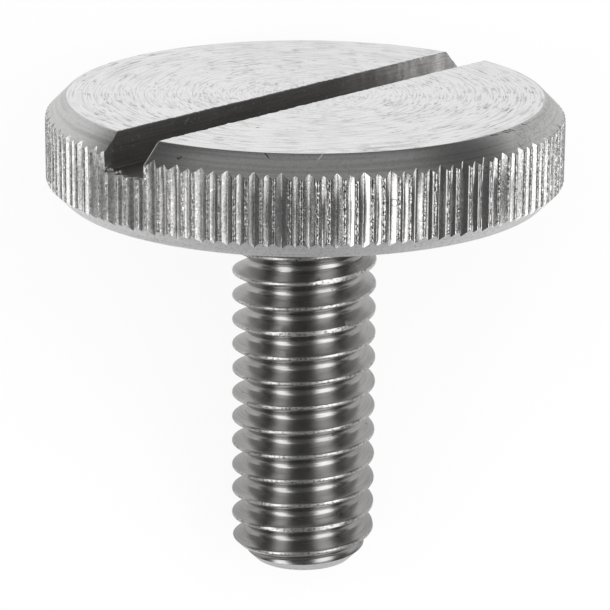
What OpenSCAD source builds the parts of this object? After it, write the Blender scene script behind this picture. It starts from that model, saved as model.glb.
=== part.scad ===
// Slotted thumb screw with a low, straight-knurled head, turned from one piece of bar.
// Lengths are in millimetres and angles in degrees. The screw is modelled upright, with
// its bearing face at Z = 0 and its thread below. Then it is laid down as it comes to
// rest, on the rim of its head and on its thread.

/* [Head] */

// Diameter over the crests of the knurl
head_diameter = 13.95; // [11:0.05:18]
// Height of the head from the bearing face to the flat top
head_height = 2.68; // [2.2:0.01:4]
// Width and height of the chamfer round the top
top_chamfer = 0.55; // [0.3:0.01:0.8]
// Width and height of the chamfer round the underside
bottom_chamfer = 0.47; // [0.3:0.01:0.6]

/* [Knurl] */

// Number of deep grooves round the head
knurl_grooves = 62; // [48:1:72]
// Depth of a deep groove
knurl_depth = 0.19; // [0.1:0.01:0.25]
// Depth of the shallow groove halfway between two deep ones
knurl_shallow_depth = 0.13; // [0.05:0.01:0.15]
// Angle of the first deep groove round the axis
knurl_angle = 3.9; // [0:0.1:6]

/* [Driver slot] */

// Width of the slot
slot_width = 1.45; // [0.8:0.05:2]
// Depth of the slot below the flat top
slot_depth = 0.96; // [0.7:0.01:1.4]
// Distance of the slot's middle from the axis of the head
slot_offset = 0.14; // [0:0.01:0.3]
// Angle of the slot round the axis
slot_angle = 47; // [0:1:180]

/* [Thread] */

// Diameter over the crests of the thread
thread_diameter = 3.93; // [3.6:0.01:4.4]
// Distance along the axis from one crest to the next
thread_pitch = 0.7; // [0.6:0.05:0.8]
// Depth of the thread from crest to root
thread_depth = 0.41; // [0.3:0.01:0.45]
// Distance from the bearing face to the flat end of the screw
screw_length = 10.5; // [6:0.1:20]
// Width and height of the chamfer at the end of the screw
end_chamfer = 0.63; // [0.45:0.01:0.8]
// Angle round the axis at which the thread starts
thread_angle = 308; // [0:1:359]

/* [Neck] */

// Length of the plain neck between the bearing face and the thread
neck_length = 1.2; // [0.8:0.05:1.6]
// Radius of the fillet between the neck and the bearing face
neck_fillet = 0.15; // [0.05:0.01:0.3]

/* [Hidden] */

steel = [0.72, 0.72, 0.73];
round_facets = 180;
thread_facets = 36;
// Cutting shapes run past the faces that they cut by this much
overrun = 1;

head_radius = head_diameter / 2;
thread_radius = thread_diameter / 2;
root_radius = thread_radius - thread_depth;
end_radius = thread_radius - end_chamfer;
// The plain neck stands a hair proud of the crests, as a cut thread leaves it
neck_step = 0.015;
neck_radius = thread_radius + neck_step;

// Where the corners of one pitch of the knurl lie, as shares of the pitch: deep groove,
// crest, shallow groove, crest
knurl_corners = [
    [0, knurl_depth],
    [0.31, 0],
    [0.48, knurl_shallow_depth],
    [0.7, 0],
];

// Section of one pitch of the thread, as a radius and a share of the pitch. The crest is
// an eighth of the pitch wide and the root a quarter
thread_corners = [
    [root_radius, 0],
    [root_radius, 0.25],
    [thread_radius, 0.5625],
    [thread_radius, 0.6875],
];
// The helix starts and ends in whole turns beyond the shank, which cuts it to length
thread_low = -screw_length - 1.5 * thread_pitch;
thread_high = -neck_length / 2;
thread_turns = ceil((thread_high - thread_low) / thread_pitch) + 1;

// The screw lies on the two crests beside a shallow groove of its knurl, which carry the
// head and keep it from rolling
groove_angle = 360 / knurl_grooves;
crest_gap = (knurl_corners[3][0] - knurl_corners[1][0]) * groove_angle;
first_gap = knurl_angle + knurl_corners[1][0] * groove_angle + crest_gap / 2;
lowest_gap = first_gap + round((90 - first_gap) / groove_angle) * groove_angle;
rest_turn = 90 - lowest_gap;
rest_radius = head_radius * cos(crest_gap / 2);
// It touches the surface with the lower edge of the knurl and with the end of the
// thread's full diameter, and its axis rises from the end towards the head
rest_tilt = atan((rest_radius - thread_radius) / (bottom_chamfer + screw_length - end_chamfer));
rest_lift = rest_radius * cos(rest_tilt) - bottom_chamfer * sin(rest_tilt);
rest_back = (head_radius - top_chamfer) * sin(rest_tilt) + head_height * cos(rest_tilt);
rest_front = end_radius * sin(rest_tilt) + screw_length * cos(rest_tilt);

module turned_blank() {
    rotate_extrude($fn = round_facets)
    difference() {
        polygon([
            [0, -neck_length],
            [neck_radius, -neck_length],
            [neck_radius, -neck_fillet],
            [neck_radius + neck_fillet, 0],
            [head_radius - bottom_chamfer, 0],
            [head_radius + overrun, bottom_chamfer + overrun],
            [head_radius + overrun, head_height - top_chamfer - overrun],
            [head_radius - top_chamfer, head_height],
            [0, head_height],
        ]);
        translate([neck_radius + neck_fillet, -neck_fillet]) circle(neck_fillet, $fn = round_facets);
    }
}

module knurled_bar() {
    translate([0, 0, -neck_length - overrun])
    linear_extrude(height = neck_length + head_height + 2 * overrun)
    rotate([0, 0, knurl_angle])
    polygon([
        for (groove = [0 : knurl_grooves - 1], corner = knurl_corners)
            let (angle = (groove + corner[0]) * groove_angle, radius = head_radius - corner[1])
            [radius * cos(angle), radius * sin(angle)]
    ]);
}

module slot_cutter() {
    rotate([0, 0, slot_angle])
    translate([-head_diameter, -slot_width / 2 - slot_offset, head_height - slot_depth])
    cube([2 * head_diameter, slot_width, slot_depth + overrun]);
}

// Endless thread as one closed surface: a section swept round the helix, turn on turn,
// and closed at each end by a fan to a point on the axis
module thread_helix() {
    corners = len(thread_corners);
    last = thread_turns * thread_facets;
    // The groove runs out over the last turn below the neck
    run_out = (-neck_length - thread_low) / thread_pitch;
    function fade(facet) = min(1, max(0, run_out - facet / thread_facets));
    function place(facet, corner) =
        let (
            angle = 360 * facet / thread_facets,
            radius = thread_radius - (thread_radius - thread_corners[corner][0]) * fade(facet)
        )
        [
            radius * cos(angle),
            radius * sin(angle),
            thread_pitch * (facet / thread_facets + thread_corners[corner][1]),
        ];
    // Number of a point in the list: the corner after a section's last one is the first
    // corner of the next turn
    function first(facet) =
        facet <= last ? facet * corners : last * (corners - 1) + corners + facet - 1;
    function number(facet, corner) =
        corner < corners ? facet * corners + corner : first(facet + thread_facets);
    helix_points = [
        for (facet = [0 : last], corner = [0 : corners - 1]) place(facet, corner),
        for (facet = [last + 1 : last + thread_facets]) place(facet, 0),
    ];
    low_centre = len(helix_points);
    high_centre = low_centre + 1;
    centres = [
        [0, 0, thread_pitch / 2],
        [0, 0, thread_pitch * (thread_turns + 0.5)],
    ];
    sides = [
        for (facet = [0 : last - 1], corner = [0 : corners - 1], half = [0, 1])
            half == 0
            ? [number(facet, corner), number(facet, corner + 1), number(facet + 1, corner)]
            : [number(facet + 1, corner), number(facet, corner + 1), number(facet + 1, corner + 1)]
    ];
    low_end = concat(
        [for (facet = [0 : thread_facets - 1]) [low_centre, first(facet), first(facet + 1)]],
        [for (corner = [0 : corners - 1]) [low_centre, number(0, corner + 1), number(0, corner)]]
    );
    high_end = concat(
        [for (facet = [last : last + thread_facets - 1])
            [high_centre, first(facet + 1), first(facet)]],
        [for (corner = [0 : corners - 1])
            [high_centre, number(last, corner), number(last, corner + 1)]]
    );
    translate([0, 0, thread_low])
    rotate([0, 0, thread_angle])
    polyhedron(
        points = concat(helix_points, centres),
        faces = concat(sides, low_end, high_end),
        convexity = 10
    );
}

module threaded_shank() {
    intersection() {
        thread_helix();
        rotate_extrude($fn = round_facets)
        polygon([
            [0, -screw_length],
            [end_radius, -screw_length],
            [thread_radius + overrun, -screw_length + end_chamfer + overrun],
            [thread_radius + overrun, thread_high],
            [0, thread_high],
        ]);
    }
}

module knurled_head() {
    difference() {
        intersection() {
            turned_blank();
            knurled_bar();
        }
        slot_cutter();
    }
}

module upright_screw() {
    knurled_head();
    threaded_shank();
}

module thumb_screw() {
    color(steel)
    translate([0, (rest_front - rest_back) / 2, rest_lift])
    rotate([rest_tilt - 90, 0, 0])
    rotate([0, 0, rest_turn])
    upright_screw();
}

thumb_screw();
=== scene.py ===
import math
import random

import bpy
from mathutils import Matrix, Vector


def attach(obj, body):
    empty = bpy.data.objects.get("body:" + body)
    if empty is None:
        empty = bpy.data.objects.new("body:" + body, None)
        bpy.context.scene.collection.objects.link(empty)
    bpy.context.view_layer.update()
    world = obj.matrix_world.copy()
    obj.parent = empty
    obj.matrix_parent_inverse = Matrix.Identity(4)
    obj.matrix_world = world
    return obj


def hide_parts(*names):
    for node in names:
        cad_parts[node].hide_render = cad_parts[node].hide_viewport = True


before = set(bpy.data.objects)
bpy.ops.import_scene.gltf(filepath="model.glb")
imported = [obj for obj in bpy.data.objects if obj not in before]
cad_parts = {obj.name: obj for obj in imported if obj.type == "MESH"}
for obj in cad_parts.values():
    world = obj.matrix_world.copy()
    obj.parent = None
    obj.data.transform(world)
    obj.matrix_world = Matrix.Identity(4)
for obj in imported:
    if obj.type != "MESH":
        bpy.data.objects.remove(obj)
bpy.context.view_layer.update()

mm = 0.001

# How the screw lies: its axis rises from the end of the thread to the head, and the
# head rests on two crests of the knurl
lying = {
    "tilt": 25.8453,  # degrees between the axis and the floor
    "turn": 1.8774,  # degrees round its own axis
    "along": 2.40943,  # mm from the middle of the frame back to the bearing face
    "lift": 6.07120,  # mm from the floor up to the middle of the bearing face
}


def lyingPlace():
    # From the screw's own frame, upright with its bearing face at 0, to where it lies
    return (
        Matrix.Translation((0, lying["along"] * mm, lying["lift"] * mm))
        @ Matrix.Rotation(math.radians(lying["tilt"] - 90), 4, "X")
        @ Matrix.Rotation(math.radians(lying["turn"]), 4, "Z")
    )


def screwAxis():
    # The way from the end of the thread to the head
    return lyingPlace().to_3x3() @ Vector((0, 0, 1))


def newObject(name, data):
    thing = bpy.data.objects.new(name, data)
    bpy.context.scene.collection.objects.link(thing)
    return thing


class Wire:
    # A shader socket that can be added, multiplied and so on
    def __init__(self, tree, socket):
        self.tree = tree
        self.socket = socket

    def maths(self, operation, *values, **settings):
        settings["operation"] = operation
        return makeNode(self.tree, "ShaderNodeMath", settings, dict(enumerate(values)))

    def __add__(self, other):
        return self.maths("ADD", self, other)

    def __radd__(self, other):
        return self.maths("ADD", other, self)

    def __sub__(self, other):
        return self.maths("SUBTRACT", self, other)

    def __rsub__(self, other):
        return self.maths("SUBTRACT", other, self)

    def __mul__(self, other):
        return self.maths("MULTIPLY", self, other)

    def __rmul__(self, other):
        return self.maths("MULTIPLY", other, self)

    def __truediv__(self, other):
        return self.maths("DIVIDE", self, other)

    def __rtruediv__(self, other):
        return self.maths("DIVIDE", other, self)

    def __pow__(self, other):
        return self.maths("POWER", self, other)

    def __rpow__(self, other):
        return self.maths("POWER", other, self)

    def __abs__(self):
        return self.maths("ABSOLUTE", self)

    def clamped(self):
        return self.maths("ADD", self, 0, use_clamp=True)

    def above(self, low, high):
        # 0 below low and 1 above high, with a smooth step between
        return makeNode(
            self.tree,
            "ShaderNodeMapRange",
            {"interpolation_type": "SMOOTHSTEP"},
            {"Value": self, "From Min": low, "From Max": high},
        )

    def between(self, start, full, last, end):
        # Rises from 0 to 1 between the first two and falls back between the last two
        return self.above(start, full) * (1 - self.above(last, end))


def makeNode(tree, kind, settings=None, values=None, output=0):
    # Settings come first, then what goes into the sockets: numbers or wires. A tuple of
    # outputs gives as many wires
    node = tree.nodes.new(kind)
    for name, value in (settings or {}).items():
        setattr(node, name, value)
    for name, value in (values or {}).items():
        socket = node.inputs[name]
        if isinstance(value, Wire):
            tree.links.new(value.socket, socket)
        else:
            socket.default_value = value
    if isinstance(output, tuple):
        return [Wire(tree, node.outputs[name]) for name in output]
    return Wire(tree, node.outputs[output])


def vectorMaths(tree, operation, *values, output="Vector"):
    # The output "Value" is a number, such as a length
    inputs = dict(enumerate(values))
    return makeNode(tree, "ShaderNodeVectorMath", {"operation": operation}, inputs, output)


def emptyTree(owner):
    # The node tree of a material or a world, with nothing in it yet
    owner.use_nodes = True
    owner.node_tree.nodes.clear()
    return owner.node_tree


def mixColours(tree, factor, first, second):
    # Sockets 6, 7 and 2 are the ones for colours
    inputs = {0: factor, 6: first, 7: second}
    return makeNode(tree, "ShaderNodeMix", {"data_type": "RGBA"}, inputs, output=2)


def grey(tone, warmth=0.0):
    return (tone * (1 + warmth), tone, tone * (1 - warmth), 1)


palest = 0.99  # leaves room for the warmth of a colour


def shaded(tree, shade, finish):
    # The colour of a finish where its tone is multiplied by a varying shade
    share = (shade * finish["tone"]).clamped()
    return mixColours(tree, share, grey(0), grey(palest, finish["warmth"]))


camera = {
    "azimuth": -77.7163,  # degrees round from +X
    "elevation": 81.1198,
    "roll": -11.1608,
    "distance": 93.2997,  # mm to the point aimed at
    "aim": (0.0260, -0.5245, 4.6490),  # mm, on the screw's axis
    "lens": 201.683,  # mm
    "sensor": 36,  # mm across
    "clip": (1, 100000),  # mm
}


def makeCamera():
    data = bpy.data.cameras.new("camera")
    data.sensor_width = camera["sensor"]
    data.lens = camera["lens"]
    data.clip_start, data.clip_end = (at * mm for at in camera["clip"])
    azimuth, elevation = math.radians(camera["azimuth"]), math.radians(camera["elevation"])
    back = Vector((
        math.cos(azimuth) * math.cos(elevation),
        math.sin(azimuth) * math.cos(elevation),
        math.sin(elevation),
    ))
    across = Vector((0, 0, 1)).cross(back).normalized()
    level = Matrix((across, back.cross(across), back)).transposed()
    turned = level @ Matrix.Rotation(math.radians(camera["roll"]), 3, "Z")
    eye = (Vector(camera["aim"]) + back * camera["distance"]) * mm
    thing = newObject("camera", data)
    thing.matrix_world = Matrix.Translation(eye) @ turned.to_4x4()
    bpy.context.scene.camera = thing


makeCamera()
print("camera placed")


def screwPlace(tree):
    # Place on the screw in mm: the point, its three parts and its distance from the axis
    lies = lyingPlace()
    spot = makeNode(
        tree,
        "ShaderNodeMapping",
        {"vector_type": "TEXTURE"},
        {
            "Vector": makeNode(tree, "ShaderNodeTexCoord", output="Object"),
            "Location": lies.translation,
            "Rotation": lies.to_euler(),
            "Scale": (mm, mm, mm),
        },
    )
    x, y, z = makeNode(tree, "ShaderNodeSeparateXYZ", {}, {0: spot}, output=("X", "Y", "Z"))
    flat = makeNode(tree, "ShaderNodeCombineXYZ", {}, {"X": x, "Y": y})
    return spot, x, y, z, vectorMaths(tree, "LENGTH", flat, output="Value")


def spotNoise(tree, spot, scale, detail=2.0, roughness=0.5):
    # Noise with "scale" features per mm
    return makeNode(
        tree,
        "ShaderNodeTexNoise",
        {"noise_dimensions": "3D"},
        {"Vector": spot, "Scale": scale, "Detail": detail, "Roughness": roughness},
    )


def roundNoise(tree, x, y, radius, along, around, step, detail=2.0, roughness=0.5):
    # Noise drawn out round the axis: "around" features per radian, "step" per mm across
    parts = {"X": x / radius * around, "Y": y / radius * around, "Z": along * step}
    vector = makeNode(tree, "ShaderNodeCombineXYZ", {}, parts)
    return spotNoise(tree, vector, 1.0, detail, roughness)


def patchy(mask, share):
    # 1 where the mask is 1, and less by this share where it is 0
    return 1 - share + share * mask


def onHead(angle, radius, height):
    # A point on the head, from its angle in degrees and its radius and height in mm
    turn = math.radians(angle)
    return Vector((radius * math.cos(turn), radius * math.sin(turn), height))


def lineMark(tree, spot, start, end, width):
    # 1 along a straight scratch from start to end, and 0 away from it
    way = end - start
    gone = vectorMaths(tree, "SUBTRACT", spot, start)
    share = vectorMaths(tree, "DOT_PRODUCT", gone, way, output="Value")
    share = (share / way.length_squared).clamped()
    scale = {0: way, "Scale": share}
    along = makeNode(tree, "ShaderNodeVectorMath", {"operation": "SCALE"}, scale)
    aside = vectorMaths(tree, "DISTANCE", gone, along, output="Value")
    return 1 - aside.above(width * 0.4, width)  # full along its middle and soft at its sides


def steelMaterial(name, paint, finish):
    # A finish is painted by a function that gives its colour, roughness and height
    material = bpy.data.materials.new(name)
    tree = emptyTree(material)
    colour, roughness, height = paint(tree, finish)
    relief = {"Height": height, "Distance": finish["depth"] * mm, "Strength": 1.0}
    surface = {
        "Base Color": colour,
        "Metallic": 1.0,
        "Roughness": roughness,
        "Normal": makeNode(tree, "ShaderNodeBump", {}, relief),
    }
    shader = makeNode(tree, "ShaderNodeBsdfPrincipled", {}, surface)
    makeNode(tree, "ShaderNodeOutputMaterial", {}, {"Surface": shader}, output=())
    return material


head = {
    "radius": 6.975,
    "height": 2.68,
    "topChamfer": 0.55,
    "bottomChamfer": 0.47,
    "edge": 0.025,  # mm to each side over which the edges of the faces are rounded
    "edgeIn": 0.15,  # how far the middle of a rounded edge lies in, as a share of it
    "chamferRows": (0.3, 0.65),  # where the rows of a chamfer's facets meet, as shares
}

# The finishes. "depth" is how many mm a height of 1 stands for. "Tone" says how much darker a
# mark makes the metal, and "Shine" how much paler. A pair such as "streaks" holds the value
# of the noise at which a mark starts to show and the one at which it is full
facing = {
    "tone": 0.855,
    "warmth": 0.0,
    "roughness": 0.24,
    "depth": 0.0014,
    "ringTone": 0.037,  # of rings too fine to be seen one by one
    "streaks": (0.46, 0.7),
    "streakTone": 0.09,
    "streakHeight": 0.5,
    "arcs": (0.55, 0.62),  # longer marks
    "arcCloud": (0.4, 0.6),  # the cloud makes them patchy
    "arcFade": 0.4,
    "arcTone": 0.26,
    "arcHeight": -0.6,
    "torn": (0.56, 0.64),  # ticks where the metal is torn
    "swarm": (0.45, 0.6),  # and where these come in numbers
    "tickTone": 0.36,
    "tickRoughness": 0.10,
    "tickHeight": -1,
    "cloudTone": 0.04,
    "cloudRoughness": 0.06,
    "pit": (-1.222, -3.793),  # mm, the place of a small pit
    "pitEdge": (0.03, 0.06),  # mm from its middle
    "pitTone": 0.6,
    "pitHeight": -4,
}


def paintFaced(tree, finish):
    spot, x, y, _, radius = screwPlace(tree)
    streaks = roundNoise(tree, x, y, radius, radius, around=7, step=12, detail=3, roughness=0.7)
    arcs = roundNoise(tree, x, y, radius, radius, around=5, step=21, detail=0)
    torn = roundNoise(tree, x, y, radius, radius, around=11, step=16, detail=1)
    swarm = spotNoise(tree, spot, scale=1.6, detail=3, roughness=0.6)
    cloud = spotNoise(tree, spot, scale=0.7)
    ticks = torn.above(*finish["torn"]) * swarm.above(*finish["swarm"])
    arc = arcs.above(*finish["arcs"]) * patchy(cloud.above(*finish["arcCloud"]), finish["arcFade"])
    pitX, pitY = finish["pit"]
    away = ((x - pitX) ** 2 + (y - pitY) ** 2) ** 0.5
    pit = 1 - away.above(*finish["pitEdge"])
    shade = 1 - finish["ringTone"] - finish["streakTone"] * streaks.above(*finish["streaks"])
    shade = shade - finish["arcTone"] * arc - finish["cloudTone"] * cloud
    shade = shade * (1 - finish["tickTone"] * ticks) * (1 - finish["pitTone"] * pit)
    roughness = finish["roughness"] + finish["tickRoughness"] * ticks
    roughness = roughness + finish["cloudRoughness"] * cloud
    height = streaks * finish["streakHeight"] + arc * finish["arcHeight"]
    height = height + ticks * finish["tickHeight"] + pit * finish["pitHeight"]
    return shaded(tree, shade, finish), roughness, height


chamfering = {
    "tone": 0.57,
    "warmth": 0.006,
    "roughness": 0.24,
    "depth": 0.0010,
    "rings": (0.42, 0.68),
    "ringTone": 0.22,
    "ringHeight": 0.6,
    "fineHeight": 0.2,  # of finer rings
    "specks": (0.46, 0.7),
    "speckTone": 0.16,
    "speckRoughness": 0.10,
    "speckHeight": 0.9,
    "shadedStretch": (5.3, 5.55),  # mm across the head: beyond this it is grainier and rougher, and painted shade makes it darker
    # painted shade: how much darker that stretch is made
    "paintedShadeTone": 0.08,
    "stretchSpeckTone": 0.2,  # and its specks are so much darker, coarser grain that adds to the painted shade
    "stretchSpeckHeight": 0.8,  # and higher
    "stretchRoughness": 0.06,
    # first and last point of each scratch, as an angle and a radius
    "darkScratches": [
        ((-98.9, 6.43), (-97.9, 6.53)),
        ((-118.6, 6.70), (-118.15, 6.72)),
        ((-118.15, 6.72), (-117.75, 6.66)),
        ((-42.5, 6.44), (-40.4, 6.47)),
        ((-38.2, 6.44), (-36.3, 6.50)),
        ((-37.2, 6.43), (-35.2, 6.49)),
        ((-35.4, 6.44), (-33.9, 6.50)),
        ((-29.5, 6.44), (-28.3, 6.48)),
    ],
    "paleScratches": [((-85.9, 6.43), (-87.0, 6.545)), ((-125.1, 6.45), (-125.65, 6.95))],
    "scratchWidth": 0.02,  # mm
    "darkTone": 0.85,
    "paleShine": 0.45,
    "paleRoughness": 0.3,
}


def chamferMarks(tree, spot, marks, width):
    # Scratches on the upper chamfer, which drops as far as it runs out
    total = 0
    for ends in marks:
        start, end = (
            onHead(angle, radius, head["height"] + head["radius"] - head["topChamfer"] - radius)
            for angle, radius in ends
        )
        total = lineMark(tree, spot, start, end, width) + total
    return total


def paintChamfer(tree, finish):
    spot, x, y, z, radius = screwPlace(tree)
    rings = roundNoise(tree, x, y, radius, z, around=1.3, step=13, detail=3, roughness=0.6)
    fine = roundNoise(tree, x, y, radius, z, around=4, step=60, detail=1)
    specks = spotNoise(tree, spot, scale=13, detail=3, roughness=0.65)
    # The right-hand stretch of the chamfer is grainier and rougher, and painted shade darkens it
    shadedStretch = x.above(*finish["shadedStretch"])
    dark = chamferMarks(tree, spot, finish["darkScratches"], finish["scratchWidth"])
    pale = chamferMarks(tree, spot, finish["paleScratches"], finish["scratchWidth"])
    shade = 1 - finish["ringTone"] * rings.above(*finish["rings"]) - finish["paintedShadeTone"] * shadedStretch
    speckTone = finish["speckTone"] + finish["stretchSpeckTone"] * shadedStretch
    shade = shade - speckTone * specks.above(*finish["specks"])
    shade = shade * (1 - finish["darkTone"] * dark) + finish["paleShine"] * pale
    roughness = finish["roughness"] + finish["speckRoughness"] * specks
    roughness = roughness + finish["paleRoughness"] * pale + finish["stretchRoughness"] * shadedStretch
    speckHeight = finish["speckHeight"] + finish["stretchSpeckHeight"] * shadedStretch
    height = rings * finish["ringHeight"] + fine * finish["fineHeight"] + specks * speckHeight
    return shaded(tree, shade, finish), roughness, height


brushing = {
    "tone": 0.97,
    "warmth": 0.0,
    "roughness": 0.38,
    "depth": 0.0016,
    "rings": (0.4, 0.7),
    "ringTone": 0.08,
    "grain": (0.48, 0.72),
    "grainTone": 0.32,
    "grainRoughness": 0.1,
}


def paintBrushed(tree, finish):
    # The lower chamfer and the end of the thread, which are duller
    spot, x, y, z, radius = screwPlace(tree)
    rings = roundNoise(tree, x, y, radius, z, around=2, step=16)
    grain = spotNoise(tree, spot, scale=13, detail=3, roughness=0.7)
    shade = 1 - finish["ringTone"] * rings.above(*finish["rings"])
    shade = shade - finish["grainTone"] * grain.above(*finish["grain"])
    roughness = finish["roughness"] + finish["grainRoughness"] * grain
    return shaded(tree, shade, finish), roughness, grain


rolling = {
    "tone": 0.69,
    "warmth": 0.006,
    "roughness": 0.19,
    "depth": 0.004,
    "crest": (6.925, 6.955),  # mm from the axis: turned metal is left beyond this
    "patches": (0.35, 0.6),  # in patches
    "patchFade": 0.4,
    "crestTone": 0.35,
    "crestHeight": 0.6,
    "beadHeight": 6.5,  # of the beads along the crests
    "smooth": (-2.4, 1.4, 4.9, 5.6),  # mm across the head: it is coarse outside these
    "endPaintedLight": 0.10,  # painted light: how much paler the coarse ends are made
    "coarseRoughness": 0.12,
    "grain": (0.45, 0.68),
    "grainTone": (0.20, 0.24),  # where it is smooth, and what is added where it is coarse
    "grainHeight": (0.35, 1.9),
    "grainRoughness": 0.08,
    "glints": (0.6, 0.68),
    "glintShine": (0.30, 0.35),
    "shadedStretch": (-3.2, -2.2, -0.5, 0.5),  # mm across the head: painted shade darkens the knurl between these
    # painted shade: how much darker that stretch is made
    "paintedShadeTone": 0.27,
    "hair": (-71.2, 6.93, 1.447),  # middle of a fine curl: angle, radius and height
    "hairSize": 0.11,  # mm, its radius
    "hairEdge": (0.006, 0.018),
    "hairTone": 0.5,
}


def paintKnurl(tree, finish):
    spot, x, y, z, radius = screwPlace(tree)
    grain = spotNoise(tree, spot, scale=15, detail=3, roughness=0.7)
    glints = spotNoise(tree, spot, scale=11, detail=2, roughness=0.6)
    beads = spotNoise(tree, spot, scale=16, detail=0)
    patches = roundNoise(tree, x, y, radius, z, around=40, step=1.2)
    crest = radius.above(*finish["crest"])
    turned = crest * patchy(patches.above(*finish["patches"]), finish["patchFade"])
    coarse = 1 - x.between(*finish["smooth"])
    grainTone, glintShine, grainHeight = (
        plain + more * coarse
        for plain, more in (finish["grainTone"], finish["glintShine"], finish["grainHeight"])
    )
    away = vectorMaths(tree, "DISTANCE", spot, onHead(*finish["hair"]), output="Value")
    hair = 1 - abs(away - finish["hairSize"]).above(*finish["hairEdge"])
    # Painted light makes the coarse ends of the knurl paler
    shade = 1 + finish["endPaintedLight"] * coarse - grainTone * grain.above(*finish["grain"])
    shade = shade - finish["crestTone"] * turned
    shade = shade + glintShine * glints.above(*finish["glints"])
    # Painted shade darkens a stretch of the knurl
    shade = shade * (1 - finish["paintedShadeTone"] * x.between(*finish["shadedStretch"]))
    shade = shade * (1 - finish["hairTone"] * hair)
    roughness = finish["roughness"] + finish["grainRoughness"] * grain
    roughness = roughness + finish["coarseRoughness"] * coarse
    height = turned * finish["crestHeight"] + beads * crest * finish["beadHeight"]
    return shaded(tree, shade, finish), roughness, height + grain * grainHeight


slot = {
    "width": 1.45,
    "depth": 0.96,
    "offset": 0.14,
    "angle": 47,
    "corner": 0.03,  # mm, radius where the walls meet the floor
    "cornerSteps": 4,
    "lip": 0.02,  # mm, bevel along the top edges
    "ragged": 0.013,  # mm that the top edges wander
    "length": 18,  # mm of the cutting shape, which runs past the head
    "stations": 170,
    "seed": 12,
}

sawing = {
    "tone": 0.35,
    "warmth": 0.02,
    "roughness": 0.42,
    "depth": 0.003,
    "along": 0.6,  # strokes per mm along the slot
    "across": 22,  # and across it
    "strokes": (0.35, 0.7),
    "strokeTone": 0.28,
    "strokeHeight": 0.5,
    "strokeRoughness": 0.1,
    "chips": (0.66, 0.74),
    "chipShine": 0.9,
    "chipHeight": 0.3,
    "floor": (0.01, 0.05),  # mm above the floor of the slot: painted shade darkens it below
    "floorTone": 0.3,
    "far": (1.5, 6.5),  # mm along the slot: painted light makes it paler between these, towards its far end
    "farPaintedLight": 0.45,
    # mottled patches in the painted light of the far end
    "smudges": (0.35, 0.7),
    "farLightMottle": 1.2,
    "mouth": (6.62, 6.80),  # mm from the axis: its front end has burrs, which a painted highlight makes bright
    "mouthHigh": (0.1, 0.25),  # mm above the floor of the slot: there are none above these
    "burrs": (0.5, 0.58),
    "burrPaintedHighlight": 1.2,
    "burrRoughness": 0.2,
    "burrHeight": 6,
    # first and last point of each fine scratch, in mm
    "scratches": [
        ((-3.14, -2.51, 2.43), (-3.04, -2.40, 2.59)),
        ((-1.74, -1.01, 2.49), (-1.68, -0.94, 2.58)),
    ],
    "scratchWidth": 0.022,
    "scratchShine": 0.9,
}


def paintSawn(tree, finish):
    spot, x, y, z, radius = screwPlace(tree)
    angle = math.radians(slot["angle"])
    across = y * math.cos(angle) - x * math.sin(angle)
    along = x * math.cos(angle) + y * math.sin(angle)
    parts = {
        "X": along * finish["along"],
        "Y": across * finish["across"],
        "Z": z * finish["across"],
    }
    vector = makeNode(tree, "ShaderNodeCombineXYZ", {}, parts)
    strokes = spotNoise(tree, vector, scale=1.0, detail=3)
    chips = spotNoise(tree, spot, scale=12)
    smudges = spotNoise(tree, spot, scale=1.3, detail=4, roughness=0.65)
    high = z - (head["height"] - slot["depth"])
    far = along.above(*finish["far"])
    mouth = radius.above(*finish["mouth"]) * (1 - far) * (1 - high.above(*finish["mouthHigh"]))
    burr = mouth * chips.above(*finish["burrs"])
    shade = 1 - finish["strokeTone"] * strokes.above(*finish["strokes"])
    shade = shade + finish["chipShine"] * chips.above(*finish["chips"])
    # Painted shade on the floor of the slot
    shade = shade * patchy(high.above(*finish["floor"]), finish["floorTone"])
    # Painted light makes the far end of the slot paler, in mottled patches
    farPaintedLight = finish["farPaintedLight"] + finish["farLightMottle"] * smudges.above(*finish["smudges"])
    # A painted highlight brightens the burrs at the mouth
    shade = shade * (1 + far * farPaintedLight) + finish["burrPaintedHighlight"] * burr
    for start, end in finish["scratches"]:
        mark = lineMark(tree, spot, Vector(start), Vector(end), finish["scratchWidth"])
        shade = shade + finish["scratchShine"] * mark
    roughness = finish["roughness"] + finish["strokeRoughness"] * strokes
    roughness = roughness + finish["burrRoughness"] * burr
    chipHeight = finish["chipHeight"] + finish["burrHeight"] * mouth
    height = strokes * finish["strokeHeight"] + chips * chipHeight
    return shaded(tree, shade, finish), roughness, height


threading = {
    "tone": 0.435,
    "warmth": 0.014,
    "roughness": 0.24,
    "depth": 0.0006,
    "lines": (0.4, 0.7),
    "lineTone": 0.20,
    "lineRoughness": 0.05,
    "lineHeight": 0.5,
    "lineLean": 0.3,  # mm outwards that one mm up the screw counts for
    "pits": (0.73, 0.76),
    "pitTone": 0.5,
    "crest": (1.9, 1.92),  # mm from the axis: crests and worn flats lie beyond this
    "crestLean": (0.3, 0.75),  # share of its normal along the axis: these face outwards
    "neck": (-1.3, -1.15),  # mm: there are no crests above these heights
    "crestShine": 0.7,
    "crestRoughness": 0.10,
    "specks": (0.5, 0.62),
    "crestSpeckTone": 1.1,
    "speckHeight": 0.15,
    "crestSpeckHeight": 3.5,
}


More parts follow.
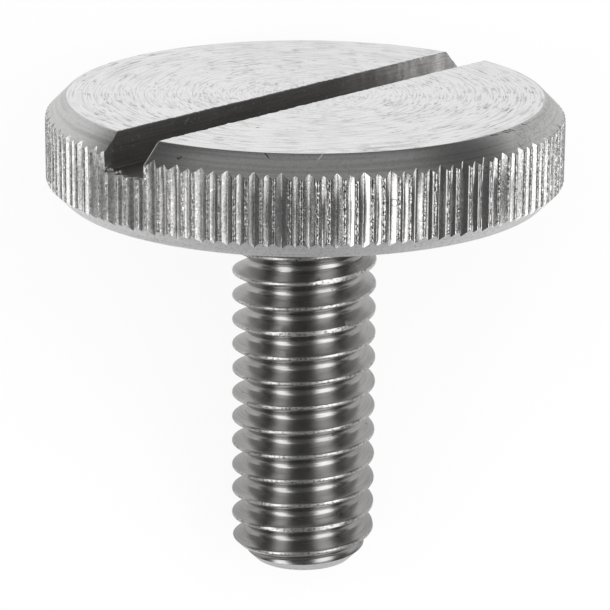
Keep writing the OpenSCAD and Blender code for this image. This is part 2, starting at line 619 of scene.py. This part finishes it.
def paintThread(tree, finish):
    spot, x, y, z, radius = screwPlace(tree)
    lean = radius + z * finish["lineLean"]
    lines = roundNoise(tree, x, y, radius, lean, around=1.2, step=38, detail=3)
    specks = spotNoise(tree, spot, scale=15, detail=3, roughness=0.65)
    pits = spotNoise(tree, spot, scale=7, detail=1)
    normal = makeNode(tree, "ShaderNodeNewGeometry", output="True Normal")
    upright = abs(vectorMaths(tree, "DOT_PRODUCT", normal, screwAxis(), output="Value"))
    crest = radius.above(*finish["crest"]) * (1 - upright.above(*finish["crestLean"]))
    crest = crest * (1 - z.above(*finish["neck"]))
    shade = 1 - finish["lineTone"] * lines.above(*finish["lines"])
    shade = shade - finish["pitTone"] * pits.above(*finish["pits"])
    crestShine = finish["crestShine"] - finish["crestSpeckTone"] * specks.above(*finish["specks"])
    shade = shade * (1 + crest * crestShine)
    roughness = finish["roughness"] + finish["lineRoughness"] * lines
    roughness = roughness + finish["crestRoughness"] * crest
    speckHeight = finish["speckHeight"] + finish["crestSpeckHeight"] * crest
    height = lines * finish["lineHeight"] + specks * speckHeight
    return shaded(tree, shade, finish), roughness, height


finishes = {
    "facedSteel": (paintFaced, facing),
    "chamferedSteel": (paintChamfer, chamfering),
    "brushedSteel": (paintBrushed, brushing),
    "rolledSteel": (paintKnurl, rolling),
    "sawnSteel": (paintSawn, sawing),
    "threadedSteel": (paintThread, threading),
}
steels = [steelMaterial(name, *finish) for name, finish in finishes.items()]
facedSlot, chamferSlot, brushedSlot, rolledSlot, sawnSlot, threadSlot = range(len(steels))
print("finishes:", len(steels))


def meshOf(name, points, faces, slots):
    # Points are in mm in the screw's own frame until buildScrew lays it down
    mesh = bpy.data.meshes.new(name)
    mesh.from_pydata(points, [], faces)
    for steel in steels:
        mesh.materials.append(steel)
    mesh.polygons.foreach_set("material_index", slots)
    mesh.update()
    return newObject(name, mesh)


def ringSolid(name, rings, bands, firstEnd, lastEnd):
    # A closed solid from rings of points. The slots are those of each band between two
    # rings and of the flat ends
    count = len(rings[0])
    points = [point for ring in rings for point in ring]
    faces, slots = [], []
    for level, kind in enumerate(bands):
        low, high = level * count, (level + 1) * count
        for i in range(count):
            j = (i + 1) % count
            faces.append((low + i, low + j, high + j, high + i))
            slots.append(kind)
    faces += [tuple(range(count))[::-1], tuple(range(len(points) - count, len(points)))]
    return meshOf(name, points, faces, slots + [firstEnd, lastEnd])


def joinSolids(thing, other, operation):
    cut = thing.modifiers.new("cut", "BOOLEAN")
    cut.operation = operation
    cut.solver = "EXACT"
    cut.material_mode = "INDEX"
    cut.object = other
    bpy.context.view_layer.update()
    seen = thing.evaluated_get(bpy.context.evaluated_depsgraph_get())
    mesh = bpy.data.meshes.new_from_object(seen)
    thing.modifiers.clear()
    old = thing.data
    thing.data = mesh
    bpy.data.meshes.remove(old)
    bpy.data.objects.remove(other)
    return thing


# One pitch of the knurl: deep groove, crest, shallow groove, crest. A crest has two corners,
# with a narrow strip of the turned bar between them
knurl = {
    "grooves": 62,
    "angle": 3.9,
    "shares": [0, 0.25, 0.33, 0.497, 0.685, 0.77],  # where the corners lie in the pitch
    "depths": [0.187, -0.003, -0.003, 0.138, 0, 0],
    "topDepths": [0.155, 0, 0, 0.10, 0.003, 0.003],  # where the side meets the upper chamfer
    "footDepths": [0.172, 0, 0, 0.124, 0.003, 0.003],  # and the lower one
    "parts": [0, 1, 1, 2, 3, 3],  # which corners belong together
    "taper": 0.45,  # share of the height over which the ends take their own depths
    "soft": [0.08, 0.17, 0.17, 0.10, 0.17, 0.17],  # share of its sides over which it is round
    "steps": 3,  # facets to each corner
    "inside": 0.001,  # mm that all of it stays within the turned bar
    "uneven": 0.08,  # how much the depth of the grooves varies
    "shift": 0.014,  # how far a corner wanders, as a share of the pitch
    "worn": 0.010,  # mm that a crest may lie low
    "leastWorn": 0.1,  # share of it that every crest lies low
    "wander": 0.0008,  # mm that a corner strays up and down the side
    "waves": (0.8, 2.1, 4.3),  # in so many waves
    "nicks": 18,
    "nickDepth": (0.015, 0.035),
    "nickTail": 0.7,  # share of its depth that a nick may keep in the row above
    "rows": 26,
    "seed": 4,
}
partCount = max(knurl["parts"]) + 1


def softened(corners, soft, steps):
    # A closed run of corners (share, depth), each rounded off over a part of both its sides
    points = []
    for i, (share, depth) in enumerate(corners):
        before, after = corners[i - 1], corners[(i + 1) % len(corners)]
        back = (share - before[0]) % 1
        ahead = (after[0] - share) % 1
        for step in range(steps + 1):
            t = step / steps
            first, last = (1 - t) ** 2 * soft[i], t * t * soft[i]
            points.append((
                i,
                share - first * back + last * ahead,
                depth + first * (before[1] - depth) + last * (after[1] - depth),
            ))
    return points


def knurlOutline(depths):
    # Angle in degrees, radius and part of each column of the head's side
    chance = random.Random(knurl["seed"])
    outline = []
    pitch = 360 / knurl["grooves"]
    for groove in range(knurl["grooves"]):
        deeper = [1 + chance.uniform(-1, 1) * knurl["uneven"] for _ in range(partCount)]
        lower = [chance.uniform(knurl["leastWorn"], 1) * knurl["worn"] for _ in range(partCount)]
        aside = [chance.uniform(-1, 1) * knurl["shift"] for _ in range(partCount)]
        corners = []
        for share, part, depth in zip(knurl["shares"], knurl["parts"], depths):
            # parts 1 and 3 are crests, and part 0, the deep groove, keeps its place
            depth = depth + lower[part] if part % 2 else depth * deeper[part]
            corners.append((share + aside[part] * min(part, 1), depth))
        for i, share, depth in softened(corners, knurl["soft"], knurl["steps"]):
            radius = head["radius"] - max(depth, knurl["inside"])
            part = groove * partCount + knurl["parts"][i]
            outline.append((knurl["angle"] + (groove + share) * pitch, radius, part))
    return sorted(outline)


def partWay(first, second, share):
    # The ring of (radius, height) that lies this share of the way from one to another
    return [(r + (s - r) * share, z + (h - z) * share) for (r, z), (s, h) in zip(first, second)]


def buildHead():
    outline = knurlOutline(knurl["depths"])
    footOutline = knurlOutline(knurl["footDepths"])
    topOutline = knurlOutline(knurl["topDepths"])
    chance = random.Random(knurl["seed"] + 1)
    parts = knurl["grooves"] * partCount
    waves = []
    for _ in range(parts):
        waves.append([
            (chance.gauss(0, knurl["wander"]), chance.random() * math.tau, n)
            for n in knurl["waves"]
        ])
    nicks = {}
    for _ in range(knurl["nicks"]):
        part = chance.randrange(1, parts, 2)
        row = chance.randrange(2, knurl["rows"] - 2)
        nicks[part, row] = chance.uniform(*knurl["nickDepth"])
        nicks[part, row + 1] = nicks[part, row] * chance.uniform(0, knurl["nickTail"])
    radius, height = head["radius"], head["height"]
    topEdge = radius - head["topChamfer"]
    lowEdge = radius - head["bottomChamfer"]
    edge = head["edge"]
    inset = edge * head["edgeIn"]
    slope = edge * math.sqrt(0.5)
    rings = []  # from the underside up: (radius, height) for each column, and the slot above

    def plain(r, z, kind):
        rings.append(([(r, z)] * len(outline), kind))

    plain(lowEdge - 3 * edge, 0, facedSlot)
    plain(lowEdge - 2 * edge, 0, facedSlot)
    plain(lowEdge - edge, 0, brushedSlot)
    plain(lowEdge - inset, inset, brushedSlot)
    lowRing = [(lowEdge + slope, slope)] * len(outline)
    rings.append((lowRing, brushedSlot))
    feet = [(r, r - lowEdge) for _, r, _ in footOutline]
    tops = [(r, height - (r - topEdge)) for _, r, _ in topOutline]
    for share in head["chamferRows"]:
        rings.append((partWay(lowRing, feet, share), brushedSlot))
    rings.append((feet, rolledSlot))
    for row in range(1, knurl["rows"]):
        share = row / knurl["rows"]
        footShare = max(0, 1 - share / knurl["taper"])
        topShare = max(0, 1 - (1 - share) / knurl["taper"])
        ring = []
        for (footR, low), (topR, high), (_, r, part) in zip(feet, tops, outline):
            r += (footR - r) * footShare + (topR - r) * topShare
            for size, phase, n in waves[part]:
                r += size * math.sin(share * n * math.tau + phase)
            r -= nicks.get((part, row), 0)
            ring.append((min(r, radius - knurl["inside"]), low + (high - low) * share))
        rings.append((ring, rolledSlot))
    rings.append((tops, chamferSlot))
    topRing = [(topEdge + slope, height - slope)] * len(outline)
    for share in head["chamferRows"]:
        rings.append((partWay(tops, topRing, share), chamferSlot))
    rings.append((topRing, chamferSlot))
    plain(topEdge - inset, height - inset, chamferSlot)
    plain(topEdge - edge, height, facedSlot)
    plain(topEdge - 2 * edge, height, facedSlot)
    plain(topEdge - 3 * edge, height, facedSlot)
    turns = [math.radians(angle) for angle, _, _ in outline]
    solid = [
        [(r * math.cos(turn), r * math.sin(turn), z) for turn, (r, z) in zip(turns, ring)]
        for ring, _ in rings
    ]
    return ringSolid("head", solid, [kind for _, kind in rings[:-1]], facedSlot, facedSlot)


overrun = 1  # mm that a cutting shape runs past what it cuts


def buildSlotCutter():
    low = -slot["width"] / 2 - slot["offset"]
    high = low + slot["width"]
    floor = head["height"] - slot["depth"]
    corner, steps = slot["corner"], slot["cornerSteps"]
    section = []
    for middle, start in ((low + corner, 1.0), (high - corner, 1.5)):
        for i in range(steps + 1):
            turn = math.pi * (start + i / (2 * steps))
            section.append((
                middle + corner * math.cos(turn),
                floor + corner + corner * math.sin(turn),
            ))
    # the bevel of the lips runs on above the head
    lips = len(section)
    lip, top = slot["lip"], head["height"]
    outer, upper, over = 3 * lip, top + 2 * lip, top + overrun
    section += [(high, top - lip), (high + outer, upper), (high + outer, over)]
    section += [(low - outer, over), (low - outer, upper), (low, top - lip)]
    chance = random.Random(slot["seed"])
    turn = math.radians(slot["angle"])
    rings = []
    for station in range(slot["stations"] + 1):
        along = slot["length"] * station / slot["stations"] - slot["length"] / 2
        wander = [chance.gauss(0, slot["ragged"]) for _ in range(2)]
        ring = []
        for i, (across, z) in enumerate(section):
            if i >= lips:
                across += wander[across > 0]
            ring.append((
                along * math.cos(turn) - across * math.sin(turn),
                along * math.sin(turn) + across * math.cos(turn),
                z,
            ))
        rings.append(ring)
    return ringSolid("slotCutter", rings, [sawnSlot] * slot["stations"], sawnSlot, sawnSlot)


thread = {
    "radius": 1.965,
    "pitch": 0.7,
    "depth": 0.41,
    "length": 10.5,
    "endChamfer": 0.63,
    "endEdge": (0.02, 0.015),  # mm to each side over which the edge of the end is rounded
    "angle": 308,
    "root": 0.125,  # share of the pitch at which the middle of the groove lies
    "crest": 0.625,
    "rootFlat": 0.175,  # mm, before the rounding
    "crestFlat": 0.0875,
    "rootSteps": 4,  # facets to each half of the rounding
    "crestSteps": 3,
    "segments": 96,  # facets to each turn
    "worn": 0.012,  # mm that the crest is flattened here and there
    "wear": (0.1, 0.5),  # mean and spread of the shares of it
    "wearSpots": 400,
    "wearSteps": 3,  # facets from one spot to the next
    # longer flattened stretches: height in mm, first and last angle, depth in mm
    "flats": [(-2.09, -85, -30, 0.035), (-3.49, -122, -42, 0.03), (-9.09, -124, -52, 0.025)],
    "flatEnds": 0.25,  # share of half a stretch over which it gets its depth
    "seed": 9,
}
neck = {
    "length": 1.2,
    "step": 0.015,  # mm that it stands proud of the crests
    "fillet": 0.15,
    "filletSteps": 6,
    "edge": (0.012, 0.02),  # mm, bevel at its lower edge
    "inHead": 0.5,  # mm that its solid reaches into the head
}
turnedFacets = 192


def threadSection():
    # (share of the pitch, depth) round one pitch: a rounded root, a flank, a rounded crest
    pitch, depth = thread["pitch"], thread["depth"]
    lean = math.atan2((pitch - thread["rootFlat"] - thread["crestFlat"]) / 2, depth)
    spread = math.pi / 2 - lean
    squeeze = 1 / math.sin(lean) - 1
    section = []
    for part, level, way in (("root", depth, -1), ("crest", 0, 1)):
        size = thread[part + "Flat"] / 2 / math.tan(lean) / squeeze
        steps = thread[part + "Steps"]
        for i in range(2 * steps + 1):
            turn = spread * (i / steps - 1)
            share = thread[part] + size * math.sin(turn) / pitch
            section.append((share % 1, level + way * size * (1 - math.cos(turn))))
    return sorted(section)


def buildThread():
    # A section swept round the helix turn on turn, closed at each end by a fan. It starts
    # and ends in whole turns beyond the shank, which cuts it to length
    pitch, segments, radius = thread["pitch"], thread["segments"], thread["radius"]
    section = threadSection()
    corners = len(section)
    chance = random.Random(thread["seed"])
    spots = thread["wearSpots"]
    wear = [max(0, chance.gauss(*thread["wear"])) * thread["worn"] for _ in range(spots)]
    low = -thread["length"] - 1.5 * pitch
    high = -neck["length"] / 2
    turns = math.ceil((high - low) / pitch) + 1
    last = turns * segments
    runOut = (-neck["length"] - low) / pitch

    def place(step, corner):
        turn = math.tau * step / segments + math.radians(thread["angle"])
        fade = min(1, max(0, runOut - step / segments))
        spot, part = divmod(step / thread["wearSteps"], 1)
        worn = wear[int(spot) % spots] * (1 - part) + wear[(int(spot) + 1) % spots] * part
        crest = low + pitch * (step / segments + thread["crest"])
        for height, start, end, deep in thread["flats"]:
            middle, half = math.radians((start + end) / 2), math.radians((end - start) / 2)
            aside = abs((turn - middle + math.pi) % math.tau - math.pi)
            if abs(crest - height) < pitch / 2 and aside < half:
                worn = max(worn, (deep + worn) * min(1, (1 - aside / half) / thread["flatEnds"]))
        r = radius - max(section[corner][1], worn) * fade
        z = low + pitch * (step / segments + section[corner][0])
        return (r * math.cos(turn), r * math.sin(turn), z)

    points = [place(step, corner) for step in range(last + 1) for corner in range(corners)]
    points += [place(step, 0) for step in range(last + 1, last + segments + 1)]

    def first(step):
        return step * corners if step <= last else last * corners + corners + step - last - 1

    def number(step, corner):
        # The corner after a section's last one is the first corner of the next turn
        return step * corners + corner if corner < corners else first(step + segments)

    faces = []
    for step in range(last):
        for corner in range(corners):
            faces.append((
                number(step, corner), number(step + 1, corner),
                number(step + 1, corner + 1), number(step, corner + 1),
            ))
    lowCentre = len(points)
    points += [(0, 0, low + pitch / 2), (0, 0, low + pitch * (turns + 0.5))]
    for step in range(segments):
        faces.append((lowCentre, first(step + 1), first(step)))
        faces.append((lowCentre + 1, first(last + step), first(last + step + 1)))
    for corner in range(corners):
        faces.append((lowCentre, number(0, corner), number(0, corner + 1)))
        faces.append((lowCentre + 1, number(last, corner + 1), number(last, corner)))
    return meshOf("thread", points, faces, [threadSlot] * len(faces))


def buildTurned(name, profile, bands, lowEnd, highEnd):
    # A turned solid from the (radius, height) pairs of its rings, lowest first
    turns = [math.tau * i / turnedFacets for i in range(turnedFacets)]
    rings = [[(r * math.cos(turn), r * math.sin(turn), z) for turn in turns] for r, z in profile]
    return ringSolid(name, rings, bands, lowEnd, highEnd)


def buildShank():
    radius, length, chamfer = thread["radius"], thread["length"], thread["endChamfer"]
    inner, outer = thread["endEdge"]
    profile = [
        (radius - chamfer - inner, -length),
        (radius - chamfer + outer, -length + outer),
        (radius + overrun, -length + chamfer + overrun),
        (radius + overrun, -neck["length"] / 2),
    ]
    bands = [brushedSlot, brushedSlot, threadSlot]
    envelope = buildTurned("envelope", profile, bands, facedSlot, threadSlot)
    return joinSolids(buildThread(), envelope, "INTERSECT")


def buildNeck():
    radius = thread["radius"] + neck["step"]
    inner, upper = neck["edge"]
    fillet, steps = neck["fillet"], neck["filletSteps"]
    profile = [(radius - inner, -neck["length"]), (radius, -neck["length"] + upper)]
    for i in range(steps + 1):
        turn = math.pi - i * math.pi / (2 * steps)
        profile.append((
            radius + fillet + fillet * math.cos(turn),
            -fillet + fillet * math.sin(turn),
        ))
    profile.append((radius + fillet, neck["inHead"]))
    bands = [threadSlot] * (len(profile) - 1)
    return buildTurned("neck", profile, bands, threadSlot, threadSlot)


burrs = {
    "count": 15,
    "size": (0.02, 0.055),  # mm
    "uneven": 0.35,  # share of it by which their corners stray
    "raised": 0.3,  # share of it that their middle stands above the floor
    "reach": (6.70, 6.83),  # mm from the middle of the slot to its mouth
    "width": (0.0, 0.56),  # mm from the middle of the head across the slot
    "crowding": 1.6,  # above 1, more of them stand at the second of these
    "seed": 31,
}


def addBurrs(screw):
    # Torn flakes on the floor of the slot, where the cutter came out. Each is an octahedron
    # with a belt of four corners, one above and one below
    corners = ((1, 0, 0), (-1, 0, 0), (0, 1, 0), (0, -1, 0), (0, 0, 1), (0, 0, -1))
    belt = ((0, 2), (2, 1), (1, 3), (3, 0))
    sides = [(a, b, 4) for a, b in belt] + [(b, a, 5) for a, b in belt]
    chance = random.Random(burrs["seed"])
    turn = math.radians(slot["angle"])
    floor = head["height"] - slot["depth"]
    nearest, last = burrs["width"]
    points = [tuple(vertex.co) for vertex in screw.data.vertices]
    faces = [tuple(face.vertices) for face in screw.data.polygons]
    slots = [face.material_index for face in screw.data.polygons]
    for _ in range(burrs["count"]):
        along = -chance.uniform(*burrs["reach"])
        across = last - (last - nearest) * chance.random() ** burrs["crowding"]
        size = chance.uniform(*burrs["size"])
        middle = Vector((
            along * math.cos(turn) - across * math.sin(turn),
            along * math.sin(turn) + across * math.cos(turn),
            floor + size * burrs["raised"],
        ))
        first = len(points)
        for corner in corners:
            way = [size * (w + chance.uniform(-burrs["uneven"], burrs["uneven"])) for w in corner]
            points.append(tuple(middle + Vector(way)))
        for a, b, c in sides:
            faces.append((first + a, first + b, first + c))
            slots.append(brushedSlot)
    old = screw.data
    bpy.data.objects.remove(screw)
    bpy.data.meshes.remove(old)
    return meshOf("screw", points, faces, slots)


sharpAngle = 34  # degrees: an edge that turns further than this stays sharp


def buildScrew():
    screw = joinSolids(buildHead(), buildSlotCutter(), "DIFFERENCE")
    print("head:", len(screw.data.polygons), "faces")
    shank = buildShank()
    print("thread:", len(shank.data.polygons), "faces")
    screw = joinSolids(screw, buildNeck(), "UNION")
    screw = addBurrs(joinSolids(screw, shank, "UNION"))
    mesh = screw.data
    mesh.transform(lyingPlace() @ Matrix.Scale(mm, 4))
    mesh.polygons.foreach_set("use_smooth", [True] * len(mesh.polygons))
    mesh.set_sharp_from_angle(angle=math.radians(sharpAngle))
    screw.name = mesh.name = "turnedScrew"
    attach(screw, "root")
    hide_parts("thumb_screw")
    mesh.calc_loop_triangles()
    print("screw:", len(mesh.loop_triangles), "triangles")


buildScrew()

studio = {
    "floorTone": 0.9,
    "floorSize": 300,  # mm to each side
    "cameraShare": 0.9,  # how much of the floor is plain white to the camera
    "glossyShare": 0.78,  # and how much in the metal
    "paintedPoolMiddle": (-24, 22, 0),  # mm: the middle of a painted pool of bright floor that only the metal sees
    "paintedPoolEnds": (8, 52),  # mm from its middle: it fades between these
    "paintedPoolWidth": 3.5,  # how much wider it is than long
    "paintedPoolEdge": 0.22,  # what is left of the painted brightness outside it
    "world": 0.05,  # strength of the light from all round
    "worldShare": 0.03,  # how much of the white world shows in the metal
    "panelAim": (0, 0, 5),  # mm, the point that the panels face
}

# Soft panels: the way they lie from the screw, their width and height in mm and, where it
# isn't the usual one, their distance in mm
panels = {
    "leftStrip": {"way": (-0.705, -0.215, 0.71), "tone": 2.2, "size": (71.68, 270)},
    "rightStrip": {"way": (0.665, -0.185, 0.66), "tone": 2.2, "size": (93.44, 270)},
    "overhead": {"way": (0.0135, 0.75, 0.66), "tone": 0.28, "size": (200, 110)},
    "soft": {
        "way": (0.15, -0.1, 1),
        "tone": 2.2,
        "size": (240, 240),
        "distance": 260,
        "glossy": False,  # the metal doesn't show it
    },
}


def pathShare(tree):
    # What the camera sees straight, and what it sees in metal and glass
    names = ("Is Camera Ray", "Is Glossy Ray", "Is Transmission Ray")
    straight, glossy, through = makeNode(tree, "ShaderNodeLightPath", output=names)
    return straight, (glossy + through).clamped()


def floorMaterial():
    # Plain white mixed with pale paint, which keeps the screw's shadow. In what the metal sees,
    # painted light fades the floor from a bright pool to dark
    material = bpy.data.materials.new("paleFloor")
    tree = emptyTree(material)
    straight, mirrored = pathShare(tree)
    share = straight * studio["cameraShare"] + mirrored * studio["glossyShare"]
    spot = makeNode(tree, "ShaderNodeTexCoord", output="Object")
    squeeze = (1 / studio["paintedPoolWidth"], 1, 1)
    spot = vectorMaths(tree, "MULTIPLY", spot, squeeze)
    middle = [at * mm * part for at, part in zip(studio["paintedPoolMiddle"], squeeze)]
    away = vectorMaths(tree, "DISTANCE", spot, middle, output="Value")
    near, far = studio["paintedPoolEnds"]
    # Painted light: only in reflections, the floor fades to dark outside the pool
    fade = away.above(near * mm, far * mm) * mirrored * (1 - studio["paintedPoolEdge"])
    pale = mixColours(tree, fade, grey(studio["floorTone"]), grey(0))
    bright = mixColours(tree, fade, grey(1.0), grey(0))
    matt = makeNode(tree, "ShaderNodeBsdfDiffuse", {}, {"Color": pale})
    white = makeNode(tree, "ShaderNodeEmission", {}, {"Color": bright, "Strength": 1.0})
    mixed = makeNode(tree, "ShaderNodeMixShader", {}, {0: share, 1: matt, 2: white})
    makeNode(tree, "ShaderNodeOutputMaterial", {}, {"Surface": mixed}, output=())
    return material


def makeFloor():
    size = studio["floorSize"] * mm
    mesh = bpy.data.meshes.new("floor")
    corners = [(-size, -size, 0), (size, -size, 0), (size, size, 0), (-size, size, 0)]
    mesh.from_pydata(corners, [], [(0, 1, 2, 3)])
    mesh.materials.append(floorMaterial())
    newObject("floor", mesh)


def makeWorld():
    world = bpy.data.worlds.new("studio")
    bpy.context.scene.world = world
    tree = emptyTree(world)
    straight, mirrored = pathShare(tree)
    seen = straight + mirrored * studio["worldShare"]
    dim, white = (
        makeNode(tree, "ShaderNodeBackground", {}, {"Color": grey(1.0), "Strength": strength})
        for strength in (studio["world"], 1.0)
    )
    mixed = makeNode(tree, "ShaderNodeMixShader", {}, {0: seen, 1: dim, 2: white})
    makeNode(tree, "ShaderNodeOutputWorld", {}, {"Surface": mixed}, output=())


def makePanel(name, way, tone, size, distance=150, glossy=True):
    # It faces the screw, with its height along the screw's axis
    data = bpy.data.lights.new(name, "AREA")
    data.shape = "RECTANGLE"
    data.size, data.size_y = (side * mm for side in size)
    data.energy = tone * math.pi * data.size * data.size_y
    back = Vector(way).normalized()
    across = screwAxis().cross(back).normalized()
    turned = Matrix((across, back.cross(across), back)).transposed()
    middle = (Vector(studio["panelAim"]) + back * distance) * mm
    panel = newObject(name, data)
    panel.matrix_world = Matrix.Translation(middle) @ turned.to_4x4()
    panel.visible_camera = False
    panel.visible_glossy = glossy


makeFloor()
makeWorld()
for name, panel in panels.items():
    makePanel(name, **panel)
bpy.context.scene.view_settings.view_transform = "Standard"
print("studio made")
